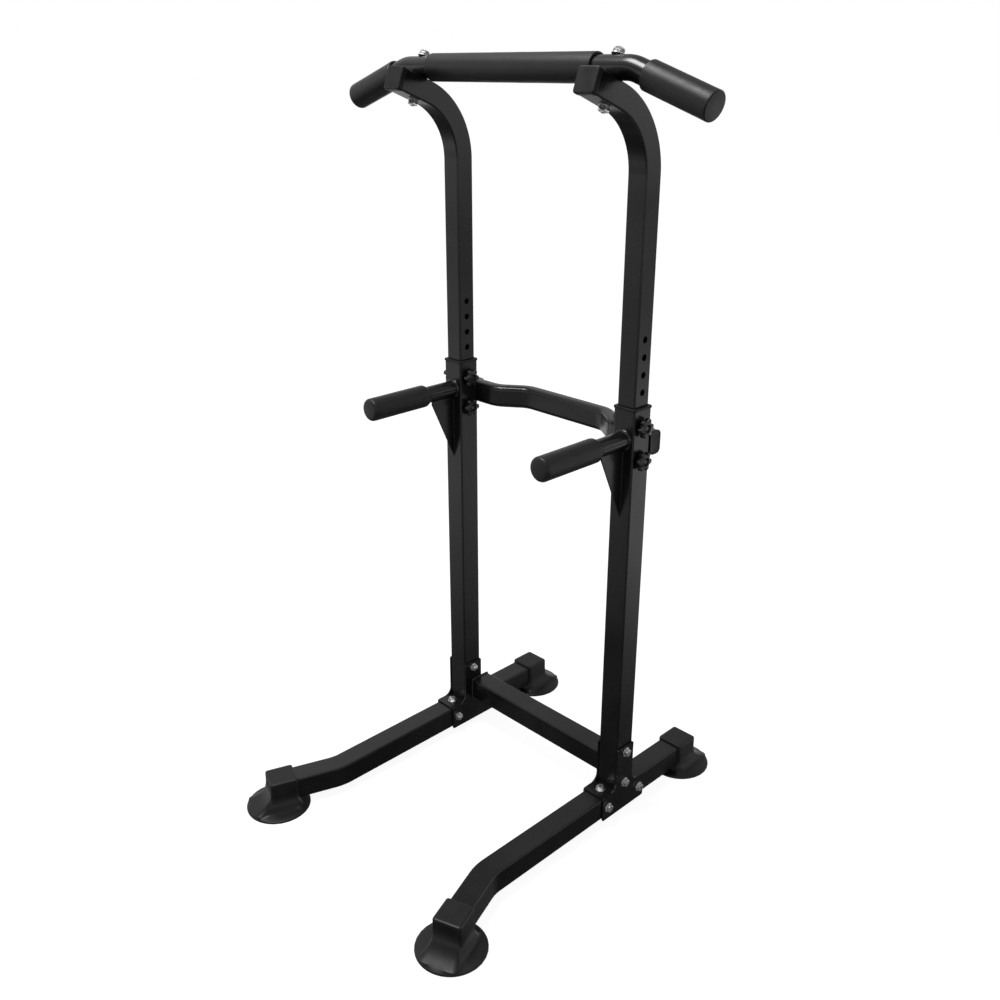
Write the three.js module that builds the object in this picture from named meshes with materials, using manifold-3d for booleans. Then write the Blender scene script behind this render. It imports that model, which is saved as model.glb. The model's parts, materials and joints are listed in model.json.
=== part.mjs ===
// Power tower: a free-standing frame with a height-adjustable pull-up bar and two dip handles.
// Millimetres, +Z up. The long feet and the dip handles reach forward, to -Y.
// The parts are laid out around the line between the two uprights (Y = 0 there), and the whole
// group is then moved so that the origin lies on the floor, under the middle of the overall box.

import * as THREE from 'three';
import { mergeVertices } from 'three/addons/utils/BufferGeometryUtils.js';
import Module from 'manifold-3d';

const wasm = await Module();
wasm.setup();

// ---------------------------------------------------------------- driving dimensions

const GAP = 0.3;              // clearance between pieces that touch
const HALF_SPACING = 288;     // middle of the object to the middle of an upright
const LOWER = 60;             // outer width of the rails, the crossbar and the lower uprights
const UPPER = 50;             // outer width of the upper uprights
const WALL = 2;               // wall of every steel tube
const CORNER = 4;             // outer corner radius of the square tubes
const PLATE = 4;              // bracket plate thickness

const RAIL_BOTTOM = 24.5;
const RAIL_TOP = RAIL_BOTTOM + LOWER;
const RAIL_BEND_Y = -469;     // where the two straight runs of a rail would meet
const RAIL_BEND_ANGLE = 20;   // the front run turns outward
const RAIL_BEND_RADIUS = 120;
const FRONT_FOOT_REACH = 170; // rail bend to the centre of the front foot
const REAR_FOOT_Y = 288;

const FOOT_RADIUS = 84;
const FOOT_LENGTH = 73;       // length of the square socket
const FOOT_OFFSET = 13;       // the socket sits this far inboard of the disc's centre
const FOOT_WALL = 6;

const BRACKET_REACH = 82;     // half length of the bracket's arms
const BRACKET_STEM = 31;      // half width of the bracket's stems
const BRACKET_BOTTOM = 19;
const BRACKET_TOP = 214;
const BRACKET_FILLET = 24;
const RAIL_BOLT_Y = 62;
const LOWER_BOLT_Z = 102;
const UPPER_BOLT_Z = 196;
const SADDLE_BOLT_Y = -54;

const CROSSBAR_Y = 24;
const CROSSBAR_Z = 125.5;

const LIP_TOP = 1121.5;        // top of the bushing's lip
const LIP_HEIGHT = 6;
const LIP_WIDTH = 64.4;
const LOWER_TOP = LIP_TOP - LIP_HEIGHT - GAP;
const SLEEVE_BOTTOM = 1090;

const HOLE_PITCH = 40;
const HOLE_RADIUS = 8;
const TOP_HOLE_Z = 1275;
const HOLE_COUNT = 12;
const KNOB_LEVELS = [995, 1075];
const UPPER_BOTTOM = 805;
const BEND_START_Z = 1620;
const BEND_RADIUS = 162.5;
const BEND_ANGLE = 69.5;
const END_RUN = 94;           // straight run after the bend, to the face of the end cap
const CAP_WIDTH = 53;
const CAP_DEPTH = 14;

const BAR_RADIUS = 24;
const BAR_REST = 22.7;        // bend's end to the bar, along the straight end run
const NOTCH_DEPTH = 1;        // the bar sits this deep in the tube's upper wall
const BAR_BEND_X = 335;
const BAR_BEND_ANGLE = 18.8;
const BAR_BEND_RADIUS = 90;
const BAR_END_RUN = 194.5;
const FOAM_RADIUS = 30;
const ROUND_SEGMENTS = 8;     // half the number of flats around a round tube or grip
const CENTRE_GRIP_HALF = 246;
const END_GRIP_START = 40;    // bar bend to the inner end of the end grip
const END_GRIP_EDGE = { mouth: 28, taper: 3, round: 4 };

const HANDLE_Z = 1045;
const HANDLE_RADIUS = 21;
const HANDLE_END_Y = -300;
const COLLAR_RADIUS = 26;
const COLLAR_LENGTH = 5;
const HANDLE_FOAM_RADIUS = 28.4;
const HANDLE_GRIP_START_Y = -124;
const FOAM_END = 8;           // thickness of a grip's closed end
const DIP_GRIP_EDGE = { mouth: 23, taper: 12, round: 9 };
const GUSSET_REACH = 104;
const GUSSET_TIP_Z = 856;
const GUSSET_FRONT_Z = 1014;

const BRACE_Z = 1028;
const BRACE_HEIGHT = 57;
const BRACE_DEPTH = 36;
const BRACE_CORNER = 12;
const BRACE_NEAR_Y = 30 + GAP + BRACE_DEPTH / 2;
const BRACE_FAR_Y = BRACE_NEAR_Y + 49;
const BRACE_END_X = 318;
const BRACE_NEAR_X = 200;     // first bend
const BRACE_FAR_X = 132;      // second bend
const BRACE_BEND_RADIUS = 60;
const BRACE_BOLT_SPREAD = 15;

const KNOB_RADIUS = 23.5;
const KNOB_HEIGHT = 18;
const KNOB_LOBES = 6;
const STUD_RADIUS = 5;

// ---------------------------------------------------------------- materials

const finish = (colour, roughness, metalness) =>
  new THREE.MeshStandardMaterial({ color: colour, roughness, metalness });
const steel = finish(0x1c1c1d, 0.45, 0.35);
const foam = finish(0x202020, 0.95, 0);
const rubber = finish(0x1b1b1b, 0.8, 0);
const plastic = finish(0x181818, 0.55, 0);
const zinc = finish(0xb9bcc0, 0.35, 0.9);

// ---------------------------------------------------------------- solids

// A closed geometry as a solid that can be cut and joined.
function solid(geometry) {
  const bare = geometry.clone();
  bare.deleteAttribute('normal');
  bare.deleteAttribute('uv');
  const merged = mergeVertices(bare, 1e-4);
  const source = merged.index.array;
  const triangles = [];
  for (let i = 0; i < source.length; i += 3) {
    const [a, b, c] = [source[i], source[i + 1], source[i + 2]];
    if (a !== b && b !== c && c !== a) triangles.push(a, b, c);
  }
  return new wasm.Manifold(new wasm.Mesh({
    numProp: 3,
    vertProperties: new Float32Array(merged.attributes.position.array),
    triVerts: new Uint32Array(triangles),
  }));
}

function geometryOf(manifold) {
  const { vertProperties, triVerts } = manifold.getMesh();
  const geometry = new THREE.BufferGeometry();
  geometry.setAttribute('position', new THREE.BufferAttribute(vertProperties, 3));
  geometry.setIndex(new THREE.BufferAttribute(triVerts, 1));
  geometry.computeVertexNormals();
  return geometry;
}

const join = (...geometries) => geometries.map(solid).reduce((whole, piece) => whole.add(piece));
const cut = (whole, ...tools) => tools.map(solid).reduce((rest, tool) => rest.subtract(tool), whole);

function block(x0, x1, y0, y1, z0, z1) {
  const geometry = new THREE.BoxGeometry(x1 - x0, y1 - y0, z1 - z0);
  return geometry.translate((x0 + x1) / 2, (y0 + y1) / 2, (z0 + z1) / 2);
}

const UP_Y = new THREE.Vector3(0, 1, 0);

// A rod between two points.
function rod(from, to, radius, sides = 6) {
  const start = new THREE.Vector3(...from);
  const along = new THREE.Vector3(...to).sub(start);
  const geometry = new THREE.CylinderGeometry(radius, radius, along.length(), sides);
  const turn = new THREE.Quaternion().setFromUnitVectors(UP_Y, along.clone().normalize());
  geometry.applyQuaternion(turn);
  const middle = start.addScaledVector(along, 0.5);
  return geometry.translate(middle.x, middle.y, middle.z);
}

// A square with round corners, or a hollow one when an inner width is given.
function squareSection(width, inner = 0, corner = CORNER) {
  const reach = width / 2 - corner;
  const shape = new THREE.Shape();
  shape.absarc(reach, reach, corner, 0, Math.PI / 2);
  shape.absarc(-reach, reach, corner, Math.PI / 2, Math.PI);
  shape.absarc(-reach, -reach, corner, Math.PI, 1.5 * Math.PI);
  shape.absarc(reach, -reach, corner, 1.5 * Math.PI, 2 * Math.PI);
  shape.closePath();
  if (inner > 0) {
    const h = inner / 2;
    const hole = new THREE.Path();
    hole.moveTo(h, h).lineTo(h, -h).lineTo(-h, -h).lineTo(-h, h).closePath();
    shape.holes.push(hole);
  }
  return shape;
}

function ringSection(outer, inner) {
  const shape = new THREE.Shape();
  shape.absarc(0, 0, outer, 0, 2 * Math.PI);
  const hole = new THREE.Path();
  hole.absarc(0, 0, inner, 0, 2 * Math.PI, true);
  shape.holes.push(hole);
  return shape;
}

// A rectangle with round corners, its height along the sweep's first axis.
function flatSection(height, depth, corner, wall = 0) {
  const outline = (path, reachX, reachY, radius) => {
    path.absarc(reachX, reachY, radius, 0, Math.PI / 2);
    path.absarc(-reachX, reachY, radius, Math.PI / 2, Math.PI);
    path.absarc(-reachX, -reachY, radius, Math.PI, 1.5 * Math.PI);
    path.absarc(reachX, -reachY, radius, 1.5 * Math.PI, 2 * Math.PI);
    path.closePath();
    return path;
  };
  const [reachX, reachY] = [height / 2 - corner, depth / 2 - corner];
  const shape = outline(new THREE.Shape(), reachX, reachY, corner);
  if (wall > 0) shape.holes.push(outline(new THREE.Path(), reachX, reachY, corner - wall));
  return shape;
}

// A route of straight runs and round turns, with one station per straight end and a few per turn.
class Route extends THREE.Curve {
  constructor(start, heading) {
    super();
    this.stations = [{ point: new THREE.Vector3(...start), heading: new THREE.Vector3(...heading) }];
  }

  run(length) {
    const { point, heading } = this.stations.at(-1);
    this.stations.push({ point: point.clone().addScaledVector(heading, length), heading });
    return this;
  }

  turn(degrees, radius, axis, steps) {
    const { point, heading } = this.stations.at(-1);
    const spin = new THREE.Vector3(...axis).multiplyScalar(Math.sign(degrees));
    const centre = point.clone().addScaledVector(spin.clone().cross(heading), radius);
    for (let i = 1; i <= steps; i += 1) {
      const angle = THREE.MathUtils.degToRad(Math.abs(degrees)) * i / steps;
      this.stations.push({
        point: point.clone().sub(centre).applyAxisAngle(spin, angle).add(centre),
        heading: heading.clone().applyAxisAngle(spin, angle),
      });
    }
    return this;
  }

  get steps() {
    return this.stations.length - 1;
  }

  getPointAt(t, target = new THREE.Vector3()) {
    return target.copy(this.stations[Math.round(t * this.steps)].point);
  }

  getTangentAt(t, target = new THREE.Vector3()) {
    return target.copy(this.stations[Math.round(t * this.steps)].heading);
  }
}

const sweep = (section, route, curveSegments = 1) =>
  new THREE.ExtrudeGeometry(section, { extrudePath: route, steps: route.steps, curveSegments });

// Extrudes an outline drawn in Y and Z along X, from x0.
function slab(shape, thickness, x0, curveSegments = 2) {
  const geometry = new THREE.ExtrudeGeometry(shape, { depth: thickness, bevelEnabled: false, curveSegments });
  const basis = new THREE.Matrix4().makeBasis(
    new THREE.Vector3(0, 1, 0), new THREE.Vector3(0, 0, 1), new THREE.Vector3(1, 0, 0));
  return geometry.applyMatrix4(basis).translate(x0, 0, 0);
}

// The length that a round turn takes from each of the two straight runs that it joins.
const turnReach = (radius, degrees) => radius * Math.tan(THREE.MathUtils.degToRad(degrees) / 2);

// ---------------------------------------------------------------- the assembly

const tower = new THREE.Group();

function add(name, shape, material) {
  const geometry = shape.isBufferGeometry ? shape : geometryOf(shape);
  const mesh = new THREE.Mesh(geometry, material);
  mesh.name = name;
  tower.add(mesh);
  return mesh;
}

// Heads of the base's bolts and of the larger bar bolts: corner radius and height of the hexagon,
// radius and height of the flange under it, and height of the nut.
const BASE_HEAD = { hex: 10.5, height: 7.5, flange: 12.5, rim: 2.5, nut: 9 };
const BAR_HEAD = { hex: 12, height: 10.5, flange: 14, rim: 3, nut: 12 };
const SHANK_RADIUS = 5.5;
const TIP = 3;

// A hexagon bolt with a flange, along +Z from its tip up to its head. Its bearing face is at the
// mesh's position, and the nut, when there is one, starts at the grip length below that.
function boltShape(grip, { nut = true, shank = grip, head = BASE_HEAD } = {}) {
  const pieces = [
    rod([0, 0, GAP], [0, 0, GAP + head.rim], head.flange, 10),
    rod([0, 0, GAP + 1], [0, 0, GAP + head.rim + head.height], head.hex),
  ];
  const end = nut ? grip + head.nut + TIP : shank;
  pieces.push(rod([0, 0, -end], [0, 0, GAP + 1], SHANK_RADIUS));
  if (nut) pieces.push(rod([0, 0, -grip - GAP - head.nut], [0, 0, -grip - GAP], head.hex));
  return join(...pieces);
}

function addBolt(name, position, direction, grip, options) {
  const bolt = add(name, boltShape(grip, options), zinc);
  bolt.position.set(...position);
  bolt.quaternion.setFromUnitVectors(new THREE.Vector3(0, 0, 1), new THREE.Vector3(...direction).normalize());
  return bolt;
}

// ---------------------------------------------------------------- base

const RAIL_Z = RAIL_BOTTOM + LOWER / 2;
const FOOT_END = FOOT_LENGTH / 2 - FOOT_OFFSET;           // disc centre to the socket's closed end
const RAIL_STOP = FOOT_END - FOOT_WALL - GAP;             // disc centre to the end of the rail
const RAIL_TURN = turnReach(RAIL_BEND_RADIUS, RAIL_BEND_ANGLE);
const BOLT_HOLE = SHANK_RADIUS + 1;
const BRACKET_INNER = LOWER / 2 + GAP;                     // upright's middle to a plate's near face
const BRACKET_OUTER = BRACKET_INNER + PLATE;
const WEB_BOTTOM = RAIL_TOP + GAP;
const WEB_TOP = WEB_BOTTOM + PLATE;

// Where the front foot's disc is centred, and which way the rail runs there.
const frontTurn = THREE.MathUtils.degToRad(RAIL_BEND_ANGLE);
const frontFoot = side => [
  side * (HALF_SPACING + FRONT_FOOT_REACH * Math.sin(frontTurn)),
  RAIL_BEND_Y - FRONT_FOOT_REACH * Math.cos(frontTurn),
];

function rail(side) {
  const x = side * HALF_SPACING;
  const rearEnd = REAR_FOOT_Y + RAIL_STOP;
  const route = new Route([x, rearEnd, RAIL_Z], [0, -1, 0])
    .run(rearEnd - RAIL_BEND_Y - RAIL_TURN)
    .turn(side * RAIL_BEND_ANGLE, RAIL_BEND_RADIUS, [0, 0, 1], 3)
    .run(FRONT_FOOT_REACH + RAIL_STOP - RAIL_TURN);
  const tube = solid(sweep(squareSection(LOWER, LOWER - 2 * WALL), route));
  const across = LOWER;
  const holes = [-RAIL_BOLT_Y, RAIL_BOLT_Y].map(y =>
    rod([x - across, y, RAIL_Z], [x + across, y, RAIL_Z], BOLT_HOLE));
  holes.push(rod([x, SADDLE_BOLT_Y, RAIL_Z], [x, SADDLE_BOLT_Y, RAIL_TOP + PLATE], BOLT_HOLE));
  return cut(tube, ...holes);
}

// One inverted-T plate of a bracket, drawn in Y and Z around the upright.
function bracketPlate(x0) {
  const shape = new THREE.Shape();
  const shoulder = BRACKET_STEM + BRACKET_FILLET;
  shape.moveTo(-BRACKET_REACH, BRACKET_BOTTOM);
  shape.lineTo(BRACKET_REACH, BRACKET_BOTTOM);
  shape.lineTo(BRACKET_REACH, WEB_TOP);
  shape.lineTo(shoulder, WEB_TOP);
  shape.absarc(shoulder, WEB_TOP + BRACKET_FILLET, BRACKET_FILLET, -Math.PI / 2, -Math.PI, true);
  shape.lineTo(BRACKET_STEM, BRACKET_TOP);
  shape.lineTo(-BRACKET_STEM, BRACKET_TOP);
  shape.absarc(-shoulder, WEB_TOP + BRACKET_FILLET, BRACKET_FILLET, 0, -Math.PI / 2, true);
  shape.lineTo(-BRACKET_REACH, WEB_TOP);
  shape.closePath();
  return slab(shape, PLATE, x0);
}

function bracket(side) {
  const x = side * HALF_SPACING;
  const web = block(
    x - BRACKET_INNER - 1, x + BRACKET_INNER + 1, -BRACKET_REACH, BRACKET_REACH, WEB_BOTTOM, WEB_TOP);
  const body = join(bracketPlate(x - BRACKET_OUTER), bracketPlate(x + BRACKET_INNER), web);
  const through = (y, z) => rod([x - LOWER, y, z], [x + LOWER, y, z], BOLT_HOLE);
  return cut(body,
    through(-RAIL_BOLT_Y, RAIL_Z), through(RAIL_BOLT_Y, RAIL_Z),
    through(0, LOWER_BOLT_Z), through(0, UPPER_BOLT_Z),
    rod([x, SADDLE_BOLT_Y, WEB_BOTTOM - 5], [x, SADDLE_BOLT_Y, WEB_TOP + 5], BOLT_HOLE));
}

// A rubber foot: a square socket on a domed disc with a hollow underside. Its own frame has the
// disc's centre at the origin and the rail coming in along +Y from the inboard side.
function foot() {
  const profile = [
    [0, 8], [60, 6], [70, 0], [FOOT_RADIUS, 0], [FOOT_RADIUS, 5], [FOOT_RADIUS - 20, 14], [0, 24],
  ].map(([radius, z]) => new THREE.Vector2(radius, z));
  const dome = new THREE.LatheGeometry(profile, 24).rotateX(Math.PI / 2);
  const width = LOWER + 2 * GAP + 2 * FOOT_WALL;
  const inboard = FOOT_END - FOOT_LENGTH;
  const socket = new THREE.ExtrudeGeometry(squareSection(width, 0, 3), {
    depth: FOOT_LENGTH, bevelEnabled: false, curveSegments: 1,
  });
  socket.rotateX(-Math.PI / 2).translate(0, inboard, RAIL_Z);
  const open = LOWER / 2 + GAP;
  const pocket = block(
    -open, open, inboard - 1, FOOT_END - FOOT_WALL, RAIL_BOTTOM - GAP, RAIL_TOP + GAP);
  const passage = block(
    -open, open, -FOOT_RADIUS - 1, inboard, RAIL_BOTTOM - GAP, RAIL_TOP + GAP);
  return cut(join(dome, socket), pocket, passage);
}

for (const [side, label] of [[-1, 'left'], [1, 'right']]) {
  const x = side * HALF_SPACING;
  add(`rail_${label}`, rail(side), steel);
  add(`saddle_bracket_${label}`, bracket(side), steel);

  const [frontX, frontY] = frontFoot(side);
  const front = add(`foot_front_${label}`, foot(), rubber);
  front.position.set(frontX, frontY, 0);
  front.rotation.z = Math.PI + side * frontTurn;
  const rear = add(`foot_rear_${label}`, foot(), rubber);
  rear.position.set(x, REAR_FOOT_Y, 0);

  // Bolts: two through the rail and one through the upright with a nut on the inner side, one
  // through the upright that ends flush in the inner plate, and one down into the rail.
  const outward = [side, 0, 0];
  const face = x + side * BRACKET_OUTER;
  const across = 2 * BRACKET_OUTER;
  addBolt(`rail_bolt_front_${label}`, [face, -RAIL_BOLT_Y, RAIL_Z], outward, across);
  addBolt(`rail_bolt_rear_${label}`, [face, RAIL_BOLT_Y, RAIL_Z], outward, across);
  addBolt(`upright_bolt_upper_${label}`, [face, 0, UPPER_BOLT_Z], outward, across);
  addBolt(`upright_bolt_lower_${label}`, [face, 0, LOWER_BOLT_Z], outward, across, { nut: false });
  addBolt(`saddle_bolt_${label}`, [x, SADDLE_BOLT_Y, WEB_TOP], [0, 0, 1], PLATE + GAP + WALL,
    { nut: false, shank: 18 });
}

const crossbarReach = HALF_SPACING - BRACKET_OUTER - GAP;
const crossbarRoute = new Route([-crossbarReach, CROSSBAR_Y, CROSSBAR_Z], [1, 0, 0]).run(2 * crossbarReach);
add('crossbar', sweep(squareSection(LOWER, LOWER - 2 * WALL), crossbarRoute), steel);

// ---------------------------------------------------------------- uprights

function lowerUpright(side) {
  const x = side * HALF_SPACING;
  const bottom = WEB_TOP + GAP;
  const route = new Route([x, 0, bottom], [0, 0, 1]).run(LOWER_TOP - bottom);
  const tube = solid(sweep(squareSection(LOWER, LOWER - 2 * WALL), route));
  const through = (z, radius) => rod([x - LOWER, 0, z], [x + LOWER, 0, z], radius);
  const back = z => rod([x, LOWER / 2 - 2 * WALL, z], [x, LOWER, z], BOLT_HOLE);
  return cut(tube,
    through(LOWER_BOLT_Z, BOLT_HOLE), through(UPPER_BOLT_Z, BOLT_HOLE),
    ...KNOB_LEVELS.map(z => through(z, STUD_RADIUS + 1)),
    back(BRACE_Z - BRACE_BOLT_SPREAD), back(BRACE_Z + BRACE_BOLT_SPREAD));
}

// The plastic guide in the mouth of the lower upright: a lip on top and a sleeve inside.
function bushing(side) {
  const x = side * HALF_SPACING;
  const bore = UPPER + 2 * GAP;
  const lipBottom = LOWER_TOP + GAP;
  const lip = sweep(squareSection(LIP_WIDTH, bore, 5), new Route([x, 0, lipBottom], [0, 0, 1]).run(LIP_HEIGHT));
  const sleeve = sweep(
    squareSection(LOWER - 2 * WALL - 2 * GAP, bore, 1),
    new Route([x, 0, SLEEVE_BOTTOM], [0, 0, 1]).run(lipBottom + 2 - SLEEVE_BOTTOM));
  return join(lip, sleeve);
}

// The straight run after the bend: where it starts, which way it heads, and which way is out of
// its upper wall.
const bend = THREE.MathUtils.degToRad(BEND_ANGLE);
const bendEnd = [-BEND_RADIUS * (1 - Math.cos(bend)), BEND_START_Z + BEND_RADIUS * Math.sin(bend)];
const endHeading = [-Math.sin(bend), Math.cos(bend)];
const endNormal = [Math.cos(bend), Math.sin(bend)];
const onEndRun = (along, above) => [
  bendEnd[0] + along * endHeading[0] + above * endNormal[0],
  bendEnd[1] + along * endHeading[1] + above * endNormal[1],
];
const [BAR_Y, BAR_Z] = onEndRun(BAR_REST, UPPER / 2 + BAR_RADIUS - NOTCH_DEPTH);

function upperUpright(side) {
  const x = side * HALF_SPACING;
  const route = new Route([x, 0, UPPER_BOTTOM], [0, 0, 1])
    .run(BEND_START_Z - UPPER_BOTTOM)
    .turn(BEND_ANGLE, BEND_RADIUS, [1, 0, 0], 8)
    .run(END_RUN - WALL - GAP - 1);
  const tube = solid(sweep(squareSection(UPPER, UPPER - 2 * WALL), route));
  const holes = [];
  for (let i = 0; i < HOLE_COUNT; i += 1) {
    const z = TOP_HOLE_Z - i * HOLE_PITCH;
    holes.push(rod([x - UPPER, 0, z], [x + UPPER, 0, z], HOLE_RADIUS));
  }
  holes.push(rod([x - UPPER, BAR_Y, BAR_Z], [x + UPPER, BAR_Y, BAR_Z], BAR_RADIUS + GAP + 0.2, 24));
  holes.push(rod([x, ...onEndRun(BAR_REST, -UPPER)], [x, ...onEndRun(BAR_REST, UPPER)], BOLT_HOLE));
  return cut(tube, ...holes);
}

// The cap that closes the tube's front end: a plate with a skirt around the outside of the tube.
function endCap(side) {
  const x = side * HALF_SPACING;
  const heading = [0, ...endHeading];
  const from = along => [x, ...onEndRun(along, 0)];
  const shell = solid(sweep(
    squareSection(CAP_WIDTH, 0, 5), new Route(from(END_RUN - CAP_DEPTH), heading).run(CAP_DEPTH)));
  const inside = sweep(
    squareSection(UPPER + 2 * GAP, 0, CORNER),
    new Route(from(END_RUN - CAP_DEPTH - 1), heading).run(CAP_DEPTH + 1 - WALL - 1));
  return cut(shell, inside);
}

for (const [side, label] of [[-1, 'left'], [1, 'right']]) {
  add(`lower_upright_${label}`, lowerUpright(side), steel);
  add(`bushing_${label}`, bushing(side), plastic);
  add(`upper_upright_${label}`, upperUpright(side), steel);
  add(`end_cap_${label}`, endCap(side), plastic);
}

// ---------------------------------------------------------------- pull-up bar

const barTurn = turnReach(BAR_BEND_RADIUS, BAR_BEND_ANGLE);
const droop = THREE.MathUtils.degToRad(BAR_BEND_ANGLE);
const barRoute = new Route([
  -BAR_BEND_X - BAR_END_RUN * Math.cos(droop), BAR_Y, BAR_Z - BAR_END_RUN * Math.sin(droop),
], [Math.cos(droop), 0, Math.sin(droop)])
  .run(BAR_END_RUN - barTurn)
  .turn(BAR_BEND_ANGLE, BAR_BEND_RADIUS, [0, 1, 0], 2)
  .run(2 * (BAR_BEND_X - barTurn))
  .turn(BAR_BEND_ANGLE, BAR_BEND_RADIUS, [0, 1, 0], 2)
  .run(BAR_END_RUN - barTurn);
const barHoles = [-1, 1].map(side => rod(
  [side * HALF_SPACING, ...onEndRun(BAR_REST, 0)],
  [side * HALF_SPACING, ...onEndRun(BAR_REST, UPPER + 2 * BAR_RADIUS)], BOLT_HOLE));
const barTube = solid(sweep(ringSection(BAR_RADIUS, BAR_RADIUS - WALL), barRoute, ROUND_SEGMENTS));
add('pullup_bar', cut(barTube, ...barHoles), steel);

const centreGripRoute = new Route([-CENTRE_GRIP_HALF, BAR_Y, BAR_Z], [1, 0, 0]).run(2 * CENTRE_GRIP_HALF);
add('centre_grip', sweep(ringSection(FOAM_RADIUS, BAR_RADIUS + GAP), centreGripRoute, ROUND_SEGMENTS), foam);

// A foam sleeve from its open end at the origin along +Z: a taper up to the full radius, and a
// closed end with a round edge.
function closedGrip(inner, outer, length, { mouth, taper, round }) {
  const profile = [
    [0, length - FOAM_END], [inner, length - FOAM_END], [inner, 0], [mouth, 0], [outer, taper],
    [outer, length - round], [outer - 0.3 * round, length - 0.3 * round], [outer - round, length], [0, length],
  ].map(([radius, z]) => new THREE.Vector2(radius, z));
  return solid(new THREE.LatheGeometry(profile, 2 * ROUND_SEGMENTS).rotateX(Math.PI / 2));
}

const endGripLength = BAR_END_RUN - END_GRIP_START + GAP + FOAM_END;
for (const [side, label] of [[-1, 'left'], [1, 'right']]) {
  const x = side * HALF_SPACING;
  const grip = add(
    `end_grip_${label}`, closedGrip(BAR_RADIUS + GAP, FOAM_RADIUS, endGripLength, END_GRIP_EDGE), foam);
  const down = [side * Math.cos(droop), 0, -Math.sin(droop)];
  grip.position.set(
    side * BAR_BEND_X + END_GRIP_START * down[0], BAR_Y, BAR_Z + END_GRIP_START * down[2]);
  grip.quaternion.setFromUnitVectors(new THREE.Vector3(0, 0, 1), new THREE.Vector3(...down));

  const seat = onEndRun(BAR_REST, UPPER / 2 + 2 * BAR_RADIUS - NOTCH_DEPTH);
  addBolt(`bar_bolt_${label}`, [x, ...seat], [0, ...endNormal], UPPER + 2 * BAR_RADIUS - NOTCH_DEPTH,
    { head: BAR_HEAD });
}

// ---------------------------------------------------------------- dip handles and back brace

const uprightFace = LOWER / 2 + GAP;

function dipHandle(side) {
  const x = side * HALF_SPACING;
  const route = new Route([x, -uprightFace, HANDLE_Z], [0, -1, 0]).run(-HANDLE_END_Y - uprightFace);
  const collar = new Route([x, -uprightFace, HANDLE_Z], [0, -1, 0]).run(COLLAR_LENGTH);
  return join(
    sweep(ringSection(HANDLE_RADIUS, HANDLE_RADIUS - WALL), route, ROUND_SEGMENTS),
    sweep(ringSection(COLLAR_RADIUS, HANDLE_RADIUS - 1), collar, ROUND_SEGMENTS));
}

// The flat triangular plate under a dip handle.
function gusset(side) {
  const top = HANDLE_Z - HANDLE_RADIUS - GAP;
  const underCollar = HANDLE_Z - COLLAR_RADIUS - GAP;
  const clearOfCollar = -uprightFace - COLLAR_LENGTH - GAP;
  const shape = new THREE.Shape();
  shape.moveTo(-uprightFace, GUSSET_TIP_Z);
  shape.lineTo(-uprightFace, underCollar);
  shape.lineTo(clearOfCollar, underCollar);
  shape.lineTo(clearOfCollar, top);
  shape.lineTo(-GUSSET_REACH, top);
  shape.lineTo(-GUSSET_REACH, GUSSET_FRONT_Z);
  shape.closePath();
  return solid(slab(shape, PLATE, side * HALF_SPACING - PLATE / 2));
}

const handleGripLength = HANDLE_GRIP_START_Y - HANDLE_END_Y + GAP + FOAM_END;
for (const [side, label] of [[-1, 'left'], [1, 'right']]) {
  const x = side * HALF_SPACING;
  add(`dip_handle_${label}`, dipHandle(side), steel);
  add(`gusset_${label}`, gusset(side), steel);
  const grip = add(
    `dip_grip_${label}`,
    closedGrip(HANDLE_RADIUS + GAP, HANDLE_FOAM_RADIUS, handleGripLength, DIP_GRIP_EDGE), foam);
  grip.position.set(x, HANDLE_GRIP_START_Y, HANDLE_Z);
  grip.rotation.x = Math.PI / 2;
}

// The flat brace behind the uprights: straight at both ends, cranked back in the middle.
const crank = Math.atan2(BRACE_FAR_Y - BRACE_NEAR_Y, BRACE_NEAR_X - BRACE_FAR_X);
const crankAngle = THREE.MathUtils.radToDeg(crank);
const crankTurn = turnReach(BRACE_BEND_RADIUS, crankAngle);
const crankRun = Math.hypot(BRACE_FAR_Y - BRACE_NEAR_Y, BRACE_NEAR_X - BRACE_FAR_X) - 2 * crankTurn;
const braceRoute = new Route([-BRACE_END_X, BRACE_NEAR_Y, BRACE_Z], [1, 0, 0])
  .run(BRACE_END_X - BRACE_NEAR_X - crankTurn)
  .turn(crankAngle, BRACE_BEND_RADIUS, [0, 0, 1], 2)
  .run(crankRun)
  .turn(-crankAngle, BRACE_BEND_RADIUS, [0, 0, 1], 2)
  .run(2 * (BRACE_FAR_X - crankTurn))
  .turn(-crankAngle, BRACE_BEND_RADIUS, [0, 0, 1], 2)
  .run(crankRun)
  .turn(crankAngle, BRACE_BEND_RADIUS, [0, 0, 1], 2)
  .run(BRACE_END_X - BRACE_NEAR_X - crankTurn);
const braceBolts = [];
for (const side of [-1, 1]) {
  for (const spread of [-BRACE_BOLT_SPREAD, BRACE_BOLT_SPREAD]) {
    const [x, z] = [side * HALF_SPACING, BRACE_Z + spread];
    braceBolts.push(rod([x, 0, z], [x, BRACE_NEAR_Y + BRACE_DEPTH, z], BOLT_HOLE));
  }
}
const braceTube = solid(sweep(flatSection(BRACE_HEIGHT, BRACE_DEPTH, BRACE_CORNER, WALL), braceRoute, 2));
add('back_brace', cut(braceTube, ...braceBolts), steel);

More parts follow.
